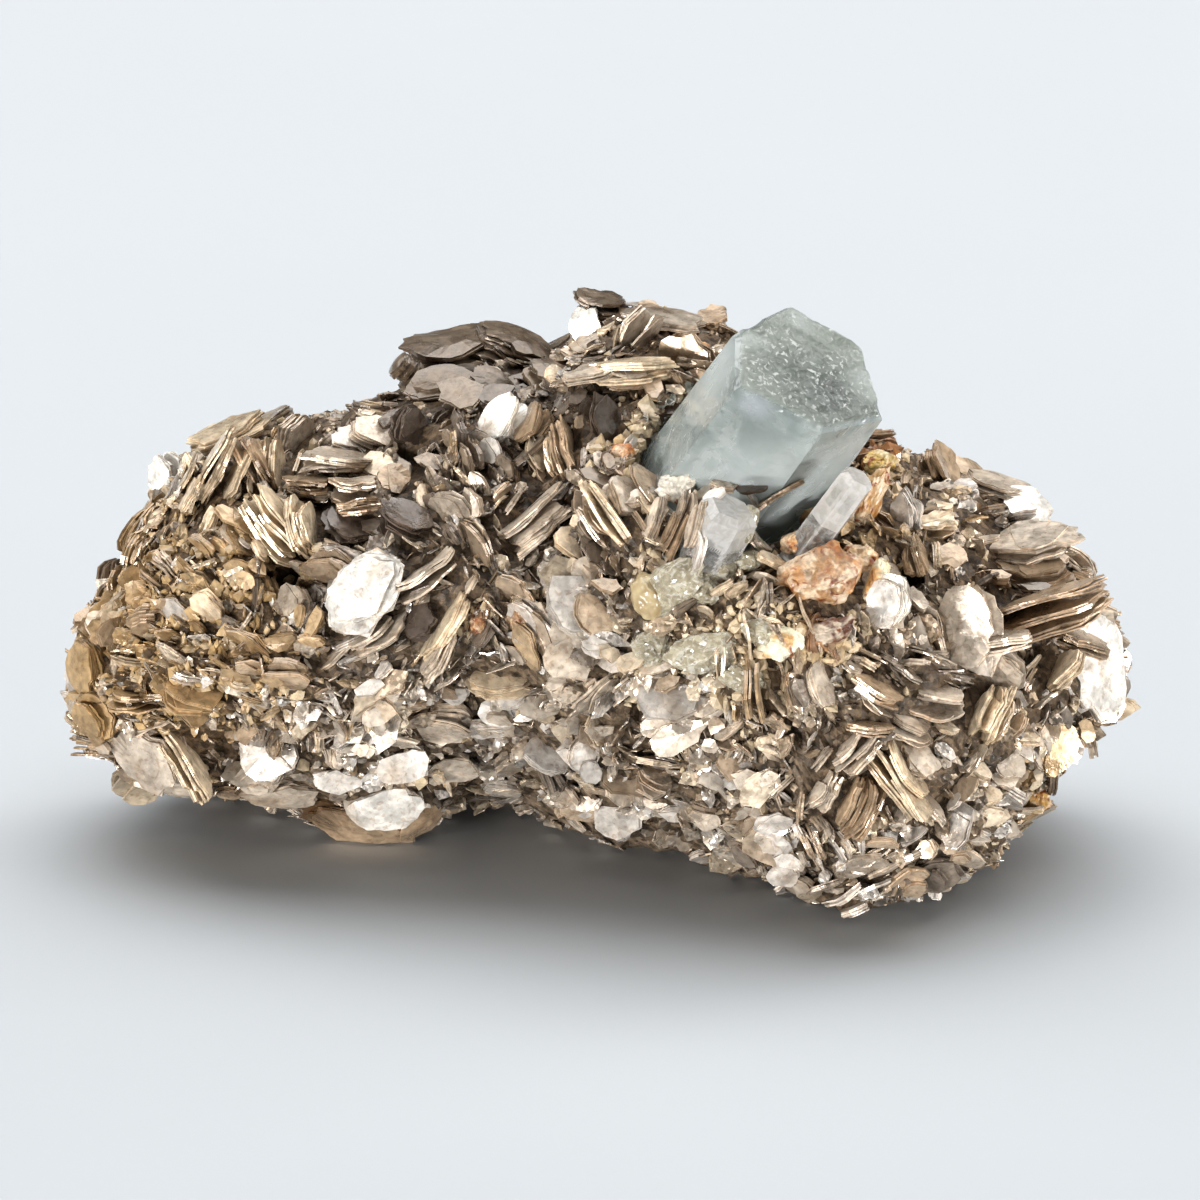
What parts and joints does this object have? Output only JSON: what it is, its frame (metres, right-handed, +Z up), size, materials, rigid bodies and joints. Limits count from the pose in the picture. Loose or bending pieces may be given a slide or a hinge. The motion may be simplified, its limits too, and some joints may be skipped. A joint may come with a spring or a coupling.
{
  "type": "aquamarine on matrix mineral specimen",
  "caption": "Mineral specimen: a broad hexagonal aquamarine prism leaning out of a lumpy rock of mica books, with clear crystals at its foot.",
  "frame": {"origin": "middle of the footprint's bounding box, on the surface that the specimen rests on", "axes": "+Z up, +X to the right along the longest side, the show side faces -Y"},
  "size_m": [0.1198, 0.065, 0.0674],
  "materials": {
    "mica": "pearly silver-brown muscovite sheets, glossy on their faces",
    "beryl": "cloudy pale blue, satin faces, etched end",
    "quartz": "clear to milky, glossy",
    "albite": "cream, waxy",
    "stained_feldspar": "rough, stained orange by iron"
  },
  "bodies": {
    "root": {"mica_matrix": "mica", "aquamarine": "beryl", "clear_crystal_right": "quartz", "clear_crystal_front": "quartz", "albite_bead": "albite", "feldspar_knob": "stained_feldspar"}
  },
  "joints": []
}
